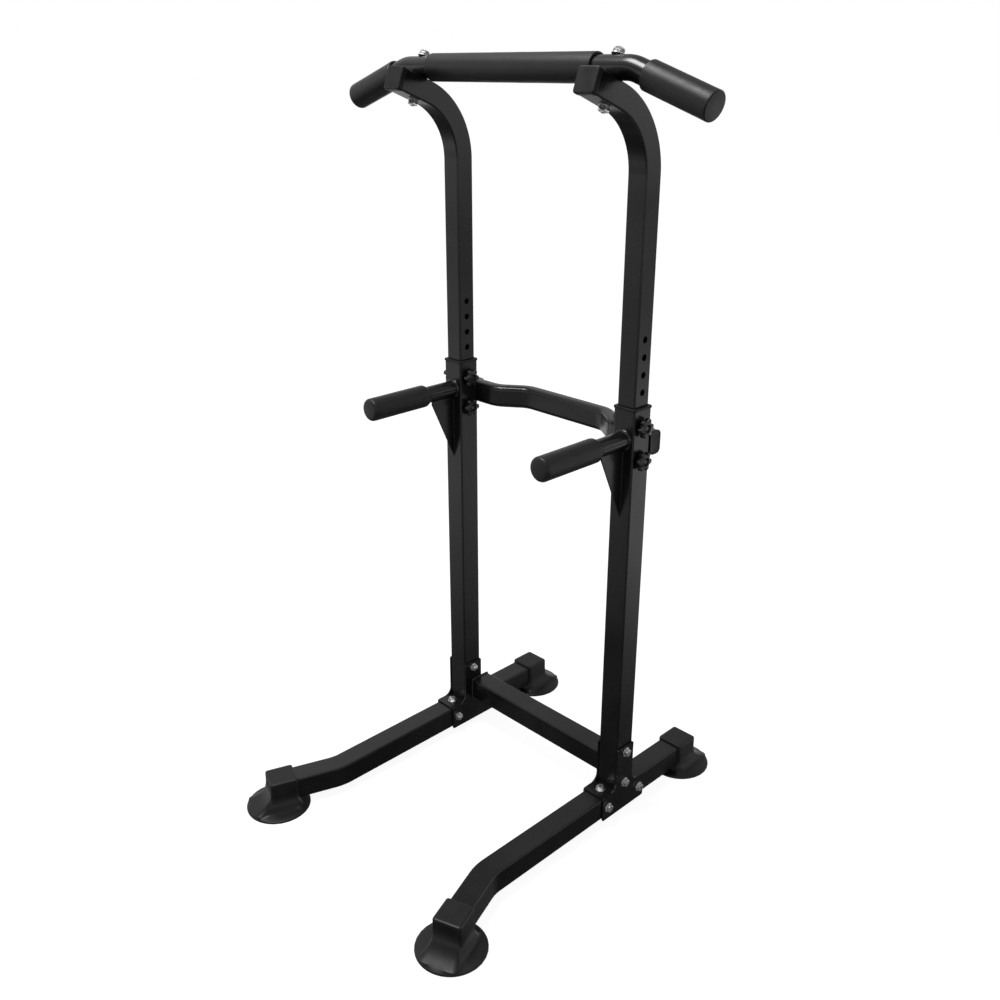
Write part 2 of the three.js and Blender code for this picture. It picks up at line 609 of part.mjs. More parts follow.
// The plastic plug in each end of the brace: a flange outside and a short plug inside.
function braceCap(side) {
  const from = side * (BRACE_END_X + GAP);
  const route = (x, length) => new Route([x, BRACE_NEAR_Y, BRACE_Z], [1, 0, 0]).run(length);
  const flange = sweep(
    flatSection(BRACE_HEIGHT, BRACE_DEPTH, BRACE_CORNER), route(side > 0 ? from : from - 3, 3), 2);
  const plugHeight = BRACE_HEIGHT - 2 * WALL - 2 * GAP;
  const plugDepth = BRACE_DEPTH - 2 * WALL - 2 * GAP;
  const plug = sweep(
    flatSection(plugHeight, plugDepth, BRACE_CORNER - WALL), route(side > 0 ? from - 10 : from - 1, 11), 2);
  return join(flange, plug);
}

// ---------------------------------------------------------------- star knobs

// A star knob with its threaded stud, along +Z, with its seat at the origin. The stud stops just
// short of the inner tube.
function starKnob() {
  const shape = new THREE.Shape();
  const waist = KNOB_RADIUS * 0.72;
  const lobe = Math.PI / KNOB_LOBES;
  for (let i = 0; i < KNOB_LOBES; i += 1) {
    const middle = 2 * lobe * i;
    for (const [angle, radius] of [[-0.4, KNOB_RADIUS], [0.4, KNOB_RADIUS], [1, waist]]) {
      const [x, y] = [radius * Math.cos(middle + angle * lobe), radius * Math.sin(middle + angle * lobe)];
      if (i === 0 && angle < 0) shape.moveTo(x, y);
      else shape.lineTo(x, y);
    }
  }
  shape.closePath();
  const star = new THREE.ExtrudeGeometry(shape, { depth: KNOB_HEIGHT - 4, bevelEnabled: false });
  star.translate(0, 0, 4);
  const stud = LOWER / 2 - UPPER / 2 - 0.5;
  return join(
    star, rod([0, 0, GAP], [0, 0, 5], 11, 12), rod([0, 0, -stud], [0, 0, 5], STUD_RADIUS));
}

for (const [side, label] of [[-1, 'left'], [1, 'right']]) {
  add(`brace_cap_${label}`, braceCap(side), plastic);
  for (const [spread, level] of [[-BRACE_BOLT_SPREAD, 'lower'], [BRACE_BOLT_SPREAD, 'upper']]) {
    addBolt(`brace_bolt_${level}_${label}`,
      [side * HALF_SPACING, BRACE_NEAR_Y + BRACE_DEPTH / 2, BRACE_Z + spread], [0, 1, 0],
      BRACE_DEPTH, { nut: false, shank: BRACE_DEPTH + GAP + WALL + 1 });
  }
  for (const [facing, where] of [[-1, 'inner'], [1, 'outer']]) {
    for (const [z, level] of [[KNOB_LEVELS[0], 'lower'], [KNOB_LEVELS[1], 'upper']]) {
      const knob = add(`star_knob_${level}_${where}_${label}`, starKnob(), plastic);
      knob.position.set(side * (HALF_SPACING + facing * LOWER / 2), 0, z);
      knob.rotation.y = side * facing * Math.PI / 2;
    }
  }
}

// ---------------------------------------------------------------- origin

const frontReach = frontFoot(1)[1] - FOOT_RADIUS;
const rearReach = REAR_FOOT_Y + FOOT_RADIUS;
tower.position.set(0, -(frontReach + rearReach) / 2, 0);

export default tower;
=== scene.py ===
"""The looks of the power tower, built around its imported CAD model. Metres, +Z up, handles towards -Y."""

import json
import math

import bmesh
import bpy
from mathutils import Matrix, Vector, noise

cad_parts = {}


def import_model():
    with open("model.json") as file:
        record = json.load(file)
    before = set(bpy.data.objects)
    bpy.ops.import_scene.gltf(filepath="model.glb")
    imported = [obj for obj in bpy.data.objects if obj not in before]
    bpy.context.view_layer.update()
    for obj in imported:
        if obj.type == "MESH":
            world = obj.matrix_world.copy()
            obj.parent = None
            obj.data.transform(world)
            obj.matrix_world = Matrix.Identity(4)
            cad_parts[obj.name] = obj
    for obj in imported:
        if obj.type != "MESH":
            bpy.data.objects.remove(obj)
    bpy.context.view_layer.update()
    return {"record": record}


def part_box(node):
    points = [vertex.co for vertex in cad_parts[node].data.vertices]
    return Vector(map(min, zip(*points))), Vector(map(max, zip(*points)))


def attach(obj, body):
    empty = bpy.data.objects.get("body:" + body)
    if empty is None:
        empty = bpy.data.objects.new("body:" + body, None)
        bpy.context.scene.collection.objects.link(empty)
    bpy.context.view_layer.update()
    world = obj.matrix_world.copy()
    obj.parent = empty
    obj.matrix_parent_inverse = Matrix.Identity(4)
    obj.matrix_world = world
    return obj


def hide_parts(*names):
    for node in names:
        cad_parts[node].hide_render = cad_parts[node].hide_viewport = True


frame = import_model()

RECORD = frame["record"]
BODY_OF = {n: body for body, nodes in RECORD["behaviour"]["bodies"].items() for n in nodes}
SIDES = ((-1, "left"), (1, "right"))
X_AXIS, Y_AXIS, Z_AXIS = Vector((1, 0, 0)), Vector((0, 1, 0)), Vector((0, 0, 1))


def middle(node):
    low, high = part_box(node)
    return (low + high) / 2


def extent(node):
    low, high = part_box(node)
    return high - low


# ------------------------------------------------------------------ sizes, some read from the frame, the rest given

GAP = 0.0003
UPRIGHT = middle("lower_upright_right")      # its X and Y are the upright's axis
LOWER_WIDTH = extent("lower_upright_right").x
UPPER_WIDTH = extent("upper_upright_right").x
WALL = 0.002
TUBE_CORNER = 0.004

RAIL_LOW, RAIL_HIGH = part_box("rail_right")
RAIL_MIDDLE_Z = (RAIL_LOW.z + RAIL_HIGH.z) / 2
RAIL_BEND_Y = UPRIGHT.y - 0.469
RAIL_BEND_ANGLE = 20
RAIL_BEND_RADIUS = 0.12
FRONT_FOOT_REACH = 0.17
REAR_FOOT = middle("foot_rear_right")
FOOT_RADIUS = extent("foot_rear_right").x / 2
RAIL_STOP = RAIL_HIGH.y - REAR_FOOT.y        # foot centre to the end of the rail inside it

BEND_START_Z = 1.62
BEND_RADIUS = 0.1625
BEND_ANGLE = 69.5
END_RUN = 0.094
BAR = middle("centre_grip")
BAR_RADIUS = 0.024
BAR_BEND_X = 0.335
BAR_BEND_ANGLE = 18.8
BAR_BEND_RADIUS = 0.09
BAR_END_RUN = 0.1945

HANDLE_Z = middle("dip_grip_right").z
HANDLE_RADIUS = 0.021
BRACE_Z = middle("back_brace").z


# ------------------------------------------------------------------ mesh helpers

def outline_rect(width, height, corner, arc=6, side_steps=1):
    """A rectangle with round corners, anticlockwise from the middle of its right corner arc."""
    points = []
    reach_x, reach_y = width / 2 - corner, height / 2 - corner
    for sx, sy, first in ((1, 1, 0), (-1, 1, 90), (-1, -1, 180), (1, -1, 270)):
        for i in range(arc + 1):
            angle = math.radians(first + 90 * i / arc)
            points.append(Vector((
                sx * reach_x + corner * math.cos(angle), sy * reach_y + corner * math.sin(angle))))
    if side_steps == 1:
        return points
    dense = []
    for i, point in enumerate(points):
        following = points[(i + 1) % len(points)]
        steps = side_steps if (i + 1) % (arc + 1) == 0 else 1
        dense += [point.lerp(following, k / steps) for k in range(steps)]
    return dense


def outline_circle(radius, count=48):
    return [Vector((radius * math.cos(2 * math.pi * i / count), radius * math.sin(2 * math.pi * i / count)))
            for i in range(count)]


class Route:
    """Straight runs and round turns in one plane; side is the plane's normal."""

    def __init__(self, start, heading, side):
        self.side = Vector(side)
        self.stations = [(Vector(start), Vector(heading).normalized())]

    def run(self, length, steps=1):
        point, heading = self.stations[-1]
        for i in range(1, steps + 1):
            self.stations.append((point + heading * length * i / steps, heading))
        return self

    def turn(self, degrees, radius, steps=14):
        point, heading = self.stations[-1]
        spin = self.side * (1 if degrees > 0 else -1)
        centre = point + spin.cross(heading) * radius
        for i in range(1, steps + 1):
            turned = Matrix.Rotation(math.radians(abs(degrees)) * i / steps, 3, spin)
            self.stations.append((centre + turned @ (point - centre), turned @ heading))
        return self

    def place(self, index, flat):
        point, heading = self.stations[index]
        return point + self.side * flat.x + self.side.cross(heading) * flat.y


def turn_reach(radius, degrees):
    return radius * math.tan(math.radians(degrees) / 2)


def new_mesh(vertices, faces, name="shape"):
    mesh = bpy.data.meshes.new(name)
    mesh.from_pydata(vertices, [], faces)
    edit = bmesh.new()
    edit.from_mesh(mesh)
    bmesh.ops.remove_doubles(edit, verts=edit.verts, dist=1e-7)
    bmesh.ops.recalc_face_normals(edit, faces=edit.faces)
    edit.to_mesh(mesh)
    edit.free()
    return mesh


def loft(rings, closed=False, capped=True):
    """Faces between rings of equal counts; closed joins the last ring to the first."""
    count = len(rings[0])
    vertices = [point for ring in rings for point in ring]
    faces = []
    pairs = [(r, r + 1) for r in range(len(rings) - 1)] + ([(len(rings) - 1, 0)] if closed else [])
    for a, b in pairs:
        for i in range(count):
            j = (i + 1) % count
            faces.append((a * count + i, a * count + j, b * count + j, b * count + i))
    if capped and not closed:
        faces.append(tuple(range(count)))
        faces.append(tuple(range((len(rings) - 1) * count, len(rings) * count)))
    return new_mesh(vertices, faces)


def sweep(route, outer, inner=None):
    last = len(route.stations)
    outside = [[route.place(s, p) for p in outer] for s in range(last)]
    if inner is None:
        return loft(outside)
    inside = [[route.place(s, p) for p in inner] for s in reversed(range(last))]
    return loft(outside + inside, closed=True)


def lathe(profile, count=48):
    """Turns (radius, z) points about Z. A profile that starts and ends at radius 0 makes a closed form."""
    rings = [[Vector((p.x * r, p.y * r, z)) for p in outline_circle(1, count)] for r, z in profile if r > 0]
    if profile[0][0] == 0:
        return loft(rings)
    return loft(rings, closed=True)


def moved(mesh, matrix):
    mesh.transform(matrix)
    return mesh


def aimed(position, direction, mesh):
    """Puts a mesh made along +Z at a position, with its +Z along a direction."""
    turn = Z_AXIS.rotation_difference(Vector(direction).normalized()).to_matrix().to_4x4()
    return moved(mesh, Matrix.Translation(Vector(position)) @ turn)


def joined(*meshes):
    edit = bmesh.new()
    for mesh in meshes:
        edit.from_mesh(mesh)
        bpy.data.meshes.remove(mesh)
    whole = bpy.data.meshes.new("shape")
    edit.to_mesh(whole)
    edit.free()
    return whole


def boolean(mesh, tools, operation="DIFFERENCE"):
    target = bpy.data.objects.new("target", mesh)
    tool = bpy.data.objects.new("tool", joined(*tools))
    for item in (target, tool):
        bpy.context.scene.collection.objects.link(item)
    modifier = target.modifiers.new("cut", "BOOLEAN")
    modifier.object = tool
    modifier.operation = operation
    modifier.solver = "EXACT"
    bpy.context.view_layer.update()
    graph = bpy.context.evaluated_depsgraph_get()
    result = bpy.data.meshes.new_from_object(target.evaluated_get(graph))
    for item in (target, tool):
        data = item.data
        bpy.data.objects.remove(item)
        bpy.data.meshes.remove(data)
    return result


def rod(start, end, radius, count=32):
    along = Vector(end) - Vector(start)
    return aimed(start, along, lathe([(0, 0), (radius, 0), (radius, along.length), (0, along.length)], count))


def box_mesh(low, high):
    x, y, z = ((a, b) for a, b in zip(low, high))
    return new_mesh(
        [(a, b, c) for c in z for b in y for a in x],
        [(0, 1, 3, 2), (4, 5, 7, 6), (0, 1, 5, 4), (2, 3, 7, 6), (0, 2, 6, 4), (1, 3, 7, 5)])


def piece(node, mesh, material, edge=0.0006, segments=2, name=None, replaces=True):
    """Shows a mesh for a CAD node: it rides on the node's body and, when it replaces the node, hides the
    node's own part.
    """
    shown = bpy.data.objects.new(name or f"{node}_shown", mesh)
    bpy.context.scene.collection.objects.link(shown)
    mesh.materials.clear()
    mesh.materials.append(material)
    mesh.shade_smooth()
    if edge:
        bevel = shown.modifiers.new("round_edges", "BEVEL")
        bevel.width = edge
        bevel.segments = segments
        bevel.limit_method = "ANGLE"
        bevel.angle_limit = math.radians(38)
        bevel.use_clamp_overlap = True
    weighted = shown.modifiers.new("even_shading", "WEIGHTED_NORMAL")
    weighted.keep_sharp = True
    weighted.weight = 80
    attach(shown, BODY_OF[node])
    if replaces:
        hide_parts(node)
    return shown


def weld_bead(path, radius, pitch=0.0028):
    """A closed, rippled weld seam along a loop of points."""
    points = []
    for i, point in enumerate(path):
        following = path[(i + 1) % len(path)]
        steps = max(1, round((following - point).length / (pitch / 3)))
        points += [point.lerp(following, k / steps) for k in range(steps)]
    rings = []
    count = len(points)
    for i, point in enumerate(points):
        along = (points[(i + 1) % count] - points[i - 1]).normalized()
        across = along.orthogonal().normalized()
        lift = along.cross(across)
        ripple = 1 + 0.16 * math.cos(2 * math.pi * i / 3) + 0.12 * noise.noise(point * 400)
        rings.append([point + (across * p.x + lift * p.y) * ripple for p in outline_circle(radius, 8)])
    twist_free = [rings[0]]
    for ring in rings[1:]:
        before = twist_free[-1]
        best = min(range(8), key=lambda k: sum((ring[(j + k) % 8] - before[j]).length for j in range(8)))
        twist_free.append(ring[best:] + ring[:best])
    return loft(twist_free, closed=True)


# ------------------------------------------------------------------ materials

class Nodes:
    """A principled material in the making."""

    def __init__(self, name, roughness, metallic=0.0, specular=0.5):
        self.material = bpy.data.materials.new(name)
        self.material.use_nodes = True
        self.tree = self.material.node_tree
        self.shader = self.tree.nodes["Principled BSDF"]
        self.shader.inputs["Roughness"].default_value = roughness
        self.shader.inputs["Metallic"].default_value = metallic
        self.shader.inputs["Specular IOR Level"].default_value = specular
        self.coordinates = self.tree.nodes.new("ShaderNodeTexCoord").outputs["Object"]

    def link(self, source, target):
        self.tree.links.new(source, target)

    def noise(self, scale, detail=4.0, roughness=0.5):
        node = self.tree.nodes.new("ShaderNodeTexNoise")
        node.inputs["Scale"].default_value = scale
        node.inputs["Detail"].default_value = detail
        node.inputs["Roughness"].default_value = roughness
        self.link(self.coordinates, node.inputs["Vector"])
        return node.outputs["Fac"]

    def cells(self, scale, feature="F1"):
        node = self.tree.nodes.new("ShaderNodeTexVoronoi")
        node.feature = feature
        node.inputs["Scale"].default_value = scale
        self.link(self.coordinates, node.inputs["Vector"])
        return node.outputs["Distance"]

    def mapped(self, value, low, high, start=0.0, end=1.0):
        node = self.tree.nodes.new("ShaderNodeMapRange")
        node.inputs["From Min"].default_value = start
        node.inputs["From Max"].default_value = end
        node.inputs["To Min"].default_value = low
        node.inputs["To Max"].default_value = high
        self.link(value, node.inputs["Value"])
        return node.outputs["Result"]

    def ramp(self, value, *stops):
        node = self.tree.nodes.new("ShaderNodeValToRGB")
        elements = node.color_ramp.elements
        while len(elements) < len(stops):
            elements.new(0.5)
        for element, (position, colour) in zip(elements, stops):
            element.position = position
            element.color = (*colour, 1)
        self.link(value, node.inputs["Fac"])
        return node.outputs["Color"]

    def sum(self, first, second, operation="ADD"):
        node = self.tree.nodes.new("ShaderNodeMath")
        node.operation = operation
        self.link(first, node.inputs[0])
        self.link(second, node.inputs[1])
        return node.outputs["Value"]

    def bump(self, height, strength, distance):
        node = self.tree.nodes.new("ShaderNodeBump")
        node.inputs["Strength"].default_value = strength
        node.inputs["Distance"].default_value = distance
        self.link(height, node.inputs["Height"])
        self.link(node.outputs["Normal"], self.shader.inputs["Normal"])

    def colour(self, output):
        self.link(output, self.shader.inputs["Base Color"])

    def roughness(self, output):
        self.link(output, self.shader.inputs["Roughness"])


def grey(value, warm=0.0):
    return (value * (1 + warm), value, value * (1 - warm))


def powder_coat():
    """Satin black powder coat with a fine orange peel and a faintly cloudy tone."""
    m = Nodes("black_powder_coat", 0.3, specular=0.5)
    cloud = m.noise(9, 5)
    peel = m.noise(420, 3, 0.55)
    grain = m.noise(2600, 2)
    m.colour(m.ramp(cloud, (0.3, grey(0.0045, -0.03)), (0.7, grey(0.0085, -0.02))))
    m.roughness(m.mapped(m.sum(cloud, peel, "MULTIPLY"), 0.22, 0.32, 0.1, 0.45))
    m.bump(m.sum(m.mapped(peel, 0, 1), m.mapped(grain, 0, 0.35)), 0.1, 0.0002)
    return m.material


def foam():
    """Closed-cell foam: fine pores with painted shade in their sunken middles, soft wear and a faint warm
    dustiness.
    """
    m = Nodes("black_foam", 0.4, specular=0.36)
    pores_and_pore_shade = m.cells(950)
    cloud = m.noise(30, 5)
    # Painted shade in the pores: the colour is darkest at the pores' middles, where the bump sinks. The cloud
    # adds random tone.
    m.colour(m.ramp(m.sum(pores_and_pore_shade, cloud, "MULTIPLY"), (0.05, grey(0.006)), (0.45, grey(0.012, 0.04))))
    m.roughness(m.mapped(cloud, 0.35, 0.45, 0.3, 0.7))
    m.bump(m.sum(m.mapped(pores_and_pore_shade, 0, 1, 0.0, 0.6), m.mapped(cloud, 0, 0.4)), 0.35, 0.0004)
    m.shader.inputs["Sheen Weight"].default_value = 0.02
    m.shader.inputs["Sheen Roughness"].default_value = 0.5
    return m.material


def rubber():
    """Moulded rubber: fine spark-eroded grain and faint blotches."""
    m = Nodes("foot_rubber", 0.42, specular=0.38)
    cloud = m.noise(22, 5)
    grain = m.noise(1500, 3, 0.6)
    m.colour(m.ramp(cloud, (0.3, grey(0.006)), (0.7, grey(0.01, 0.03))))
    m.roughness(m.mapped(cloud, 0.36, 0.46, 0.3, 0.7))
    m.bump(grain, 0.12, 0.0002)
    return m.material


def plastic(name, roughness, specular, scale):
    """Moulded black plastic with a fine texture and a slight sink and swell."""
    m = Nodes(name, roughness, specular=specular)
    cloud = m.noise(35, 4)
    grain = m.noise(scale, 3, 0.6)
    m.colour(m.ramp(cloud, (0.3, grey(0.005, -0.03)), (0.7, grey(0.009, -0.04))))
    m.roughness(m.mapped(cloud, roughness - 0.06, roughness + 0.08, 0.3, 0.7))
    m.bump(m.sum(m.mapped(grain, 0, 1), m.mapped(cloud, 0, 0.8)), 0.16, 0.0002)
    return m.material


def zinc():
    """Bright zinc plating: grainy, slightly blotched, with turning marks too fine to count."""
    m = Nodes("zinc_plating", 0.3, metallic=1.0)
    cloud = m.noise(160, 5)
    grain = m.noise(1900, 3, 0.7)
    m.colour(m.ramp(cloud, (0.3, (0.7, 0.7, 0.7)), (0.7, (0.9, 0.9, 0.89))))
    m.roughness(m.mapped(m.sum(cloud, grain, "MULTIPLY"), 0.2, 0.42, 0.12, 0.4))
    m.bump(grain, 0.15, 0.0001)
    return m.material


STEEL = powder_coat()
FOAM = foam()
RUBBER = rubber()
PLASTIC = plastic("black_plastic", 0.42, 0.3, 1300)
KNOB_PLASTIC = plastic("knob_plastic", 0.27, 0.6, 1700)
ZINC = zinc()


# ------------------------------------------------------------------ hardware

# Reach of the hexagon's corners and its height, the flange's radius and height, the nut's height.
BASE_HEAD = {"hex": 0.0105, "height": 0.0075, "flange": 0.0125, "rim": 0.0025, "nut": 0.009}
BAR_HEAD = {"hex": 0.012, "height": 0.0105, "flange": 0.014, "rim": 0.003, "nut": 0.012}
SHANK_RADIUS = 0.005
THREAD_PITCH = 0.0015


def hexagon(height, reach, count=72):
    """A hexagon prism on Z = 0 whose upper corners are turned off."""
    flat = reach * math.cos(math.pi / 6)
    low, high, top = [], [], []
    for i in range(count):
        angle = 2 * math.pi * i / count
        beside = (angle % (math.pi / 3)) - math.pi / 6
        edge = flat / math.cos(beside)
        way = Vector((math.cos(angle), math.sin(angle), 0))
        low.append(way * edge)
        high.append(way * edge + Z_AXIS * (height - 0.0002 - (edge - flat * 0.985) * 0.58))
        top.append(way * flat * 0.96 + Z_AXIS * height)
    inner = [Vector((p.x * 0.8, p.y * 0.8, height)) for p in top]
    return loft([low, high, top, inner])


def washer(radius, height, z=0.0):
    soft = height * 0.3
    return lathe([
        (0, z), (radius - soft, z), (radius, z + soft), (radius, z + height - soft),
        (radius - soft, z + height), (0, z + height)], 40)


def threaded_rod(length, radius=SHANK_RADIUS):
    """A thread from Z = 0 downwards, with ring-shaped ridges and a chamfered tip."""
    profile = [(0, 0), (radius, 0)]
    turns = int(length / THREAD_PITCH) - 1
    for i in range(turns):
        z = -THREAD_PITCH * (i + 0.5)
        profile += [(radius * 0.86, z), (radius, z - THREAD_PITCH / 2)]
    profile += [(radius * 0.75, -length), (0, -length)]
    return lathe(profile, 20)


def bolt(node, seat, direction, grip=None, shank=0.01, head=BASE_HEAD):
    """A flanged hexagon bolt whose head sits on the seat. With a grip length, a nut closes the far side."""
    parts = [
        washer(head["flange"], head["rim"]),
        moved(hexagon(head["height"], head["hex"]), Matrix.Translation(Z_AXIS * (head["rim"] - 0.0001))),
    ]
    if grip is None:
        parts.append(threaded_rod(shank))
    else:
        rim = 0.0016
        parts.append(threaded_rod(grip + head["nut"] + 0.003))
        nut = moved(hexagon(head["nut"] - rim, head["hex"]), Matrix.Rotation(math.pi, 4, "X"))
        parts.append(moved(nut, Matrix.Translation(Z_AXIS * -(grip + rim + GAP))))
        parts.append(washer(head["flange"] * 0.92, rim, -(grip + rim + GAP)))
    mesh = joined(*parts)
    # Each bolt was tightened to its own angle.
    spin = Matrix.Rotation(noise.noise(Vector(seat) * 31) * 3, 4, "Z")
    mesh = aimed(Vector(seat) + Vector(direction).normalized() * GAP, direction, moved(mesh, spin))
    piece(node, mesh, ZINC, edge=0)


# ------------------------------------------------------------------ base

FOOT_LENGTH = 0.073
FOOT_OFFSET = 0.013
FOOT_WALL = 0.006
RIM_HEIGHT = 0.005


def rail(side, label):
    x = side * UPRIGHT.x
    reach = turn_reach(RAIL_BEND_RADIUS, RAIL_BEND_ANGLE)
    route = Route((x, RAIL_HIGH.y, RAIL_MIDDLE_Z), (0, -1, 0), Z_AXIS)
    route.run(RAIL_HIGH.y - RAIL_BEND_Y - reach)
    route.turn(side * RAIL_BEND_ANGLE, RAIL_BEND_RADIUS, 16)
    route.run(FRONT_FOOT_REACH + RAIL_STOP - reach)
    mesh = sweep(
        route, outline_rect(LOWER_WIDTH, LOWER_WIDTH, TUBE_CORNER),
        outline_rect(LOWER_WIDTH - 2 * WALL, LOWER_WIDTH - 2 * WALL, TUBE_CORNER - WALL))
    piece(f"rail_{label}", mesh, STEEL)


def foot_mesh():
    """A socket that flares out into a disc: far out in front of its closed end, less at the sides."""
    width = LOWER_WIDTH + 2 * (GAP + FOOT_WALL)
    top = RAIL_MIDDLE_Z + width / 2
    closed_end = FOOT_LENGTH / 2 - FOOT_OFFSET
    mouth = closed_end - FOOT_LENGTH
    brim = 0.0105
    rings = []

    def ring(z, side_flare, front_flare, back_flare, corner):
        half = width / 2 + side_flare
        front, back = closed_end + front_flare, mouth - back_flare
        flat = outline_rect(2 * half, front - back, corner, arc=8, side_steps=8)
        return [Vector((p.x, p.y + (front + back) / 2, z)) for p in flat]

    rings.append(ring(top, -0.006, -0.006, -0.005, 0.004))
    rings.append(ring(top - 0.0004, -0.0035, -0.0035, -0.003, 0.005))
    rings.append(ring(top - 0.0016, -0.0012, -0.0012, -0.001, 0.006))
    rings.append(ring(top - 0.0040, -0.0002, -0.0002, -0.0002, 0.0065))
    levels = 22
    for i in range(1, levels + 1):
        down = i / levels
        z = top - 0.004 + (brim - top + 0.004) * down
        front = 0.050 * (down ** 4.2)
        beside = 0.014 * max(0.0, (down - 0.45) / 0.55) ** 3
        back = 0.008 * max(0.0, (down - 0.7) / 0.3) ** 2
        rings.append(ring(z, beside, front, back, 0.0065 + 0.010 * down ** 3))
    on_brim = rings[-1]

    def circle(radius, z, keep=0.0):
        """The disc's round outline, or part of the way back to the flare's own outline."""
        return [Vector((p.x, p.y, 0)).normalized() * radius * (1 - keep) + Vector((p.x, p.y, 0)) * keep
                + Z_AXIS * z for p in on_brim]

    rings.append(circle(FOOT_RADIUS - 0.004, brim - 0.0022, keep=0.35))
    rings.append(circle(FOOT_RADIUS - 0.002, RIM_HEIGHT + 0.0012))
    rings.append(circle(FOOT_RADIUS - 0.0004, RIM_HEIGHT))
    rings.append(circle(FOOT_RADIUS, RIM_HEIGHT - 0.001))
    rings.append(circle(FOOT_RADIUS, 0.0012))
    rings.append(circle(FOOT_RADIUS - 0.001, 0.0))
    rings.append(circle(FOOT_RADIUS - 0.012, 0.0))
    rings.append(circle(FOOT_RADIUS - 0.018, 0.0045))
    rings.append(circle(FOOT_RADIUS - 0.05, 0.007))
    solid = loft(rings)
    open_half = LOWER_WIDTH / 2 + GAP
    pocket = box_mesh(
        (-open_half, mouth - 0.05, RAIL_LOW.z - GAP),
        (open_half, closed_end - FOOT_WALL, RAIL_HIGH.z + GAP))
    return boolean(solid, [pocket])


def feet(side, label):
    turn = math.radians(RAIL_BEND_ANGLE)
    front = Vector((
        side * (UPRIGHT.x + FRONT_FOOT_REACH * math.sin(turn)),
        RAIL_BEND_Y - FRONT_FOOT_REACH * math.cos(turn), 0))
    rear = Vector((side * UPRIGHT.x, REAR_FOOT.y, 0))
    for node, centre, angle in (
            (f"foot_front_{label}", front, math.pi + side * turn), (f"foot_rear_{label}", rear, 0)):
        place = Matrix.Translation(centre) @ Matrix.Rotation(angle, 4, "Z")
        piece(node, moved(foot_mesh(), place), RUBBER, edge=0.0008)


BRACKET_PLATE = 0.004
BRACKET_REACH = 0.082
BRACKET_STEM = 0.031
BRACKET_FILLET = 0.024
BRACKET_INNER = LOWER_WIDTH / 2 + GAP
BRACKET_LOW, BRACKET_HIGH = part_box("saddle_bracket_right")
WEB_TOP = RAIL_HIGH.z + GAP + BRACKET_PLATE


def arc_points(cx, cy, radius, start, end, steps=10):
    return [Vector((cx + radius * math.cos(math.radians(start + (end - start) * i / steps)),
                    cy + radius * math.sin(math.radians(start + (end - start) * i / steps))))
            for i in range(steps + 1)]


def bracket_plate(x0):
    """One inverted T, drawn in Y and Z and made thick along X from x0."""
    shoulder = BRACKET_STEM + BRACKET_FILLET
    corner = 0.005
    half = []
    half += arc_points(BRACKET_REACH - corner, BRACKET_LOW.z + corner, corner, -90, 0)
    half += arc_points(BRACKET_REACH - corner, WEB_TOP - corner, corner, 0, 90)
    half += arc_points(shoulder, WEB_TOP + BRACKET_FILLET, BRACKET_FILLET, 270, 180)
    half += arc_points(BRACKET_STEM - corner, BRACKET_HIGH.z - corner, corner, 0, 90)
    outline = half + [Vector((-p.x, p.y)) for p in reversed(half)]
    thick = [[Vector((x, UPRIGHT.y + p.x, p.y)) for p in outline] for x in (x0, x0 + BRACKET_PLATE)]
    return loft(thick)


def bracket(side, label):
    x = side * UPRIGHT.x
    mesh = boolean(bracket_plate(x - BRACKET_INNER - BRACKET_PLATE), [
        box_mesh((x - BRACKET_INNER - 0.001, UPRIGHT.y - BRACKET_REACH, RAIL_HIGH.z + GAP),
                 (x + BRACKET_INNER + 0.001, UPRIGHT.y + BRACKET_REACH, WEB_TOP))], "UNION")
    mesh = boolean(mesh, [bracket_plate(x + BRACKET_INNER)], "UNION")
    piece(f"saddle_bracket_{label}", mesh, STEEL, edge=0.0012, segments=3)


def base_bolts(side, label):
    x = side * UPRIGHT.x
    face = x + side * (BRACKET_INNER + BRACKET_PLATE)
    across = 2 * (BRACKET_INNER + BRACKET_PLATE)
    for name, nutted in (("rail_bolt_front", True), ("rail_bolt_rear", True),
                         ("upright_bolt_upper", True), ("upright_bolt_lower", False)):
        node = f"{name}_{label}"
        centre = middle(node)
        bolt(node, (face, centre.y, centre.z), (side, 0, 0), across if nutted else None, shank=0.06)
    saddle = middle(f"saddle_bolt_{label}")
    bolt(f"saddle_bolt_{label}", (saddle.x, saddle.y, WEB_TOP), Z_AXIS, shank=0.018)


def crossbar():
    low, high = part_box("crossbar")
    centre = (low + high) / 2
    width = high.z - low.z
    route = Route((low.x, centre.y, centre.z), (1, 0, 0), Z_AXIS).run(high.x - low.x)
    tube = sweep(route, outline_rect(width, width, TUBE_CORNER),
                 outline_rect(width - 2 * WALL, width - 2 * WALL, TUBE_CORNER - WALL))
    beads = []
    for end, inward in ((low.x, 1), (high.x, -1)):
        loop = [Vector((end + inward * 0.0022, centre.y + p.x, centre.z + p.y))
                for p in outline_rect(width + 0.002, width + 0.002, TUBE_CORNER + 0.001)]
        beads.append(weld_bead(loop, 0.0024))
    piece("crossbar", joined(tube, *beads), STEEL)


# ------------------------------------------------------------------ uprights

def lower_upright(side, label):
    low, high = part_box(f"lower_upright_{label}")
    route = Route((side * UPRIGHT.x, UPRIGHT.y, low.z), (0, 0, 1), X_AXIS).run(high.z - low.z)
    mesh = sweep(
        route, outline_rect(LOWER_WIDTH, LOWER_WIDTH, TUBE_CORNER),
        outline_rect(LOWER_WIDTH - 2 * WALL, LOWER_WIDTH - 2 * WALL, TUBE_CORNER - WALL))
    piece(f"lower_upright_{label}", mesh, STEEL)


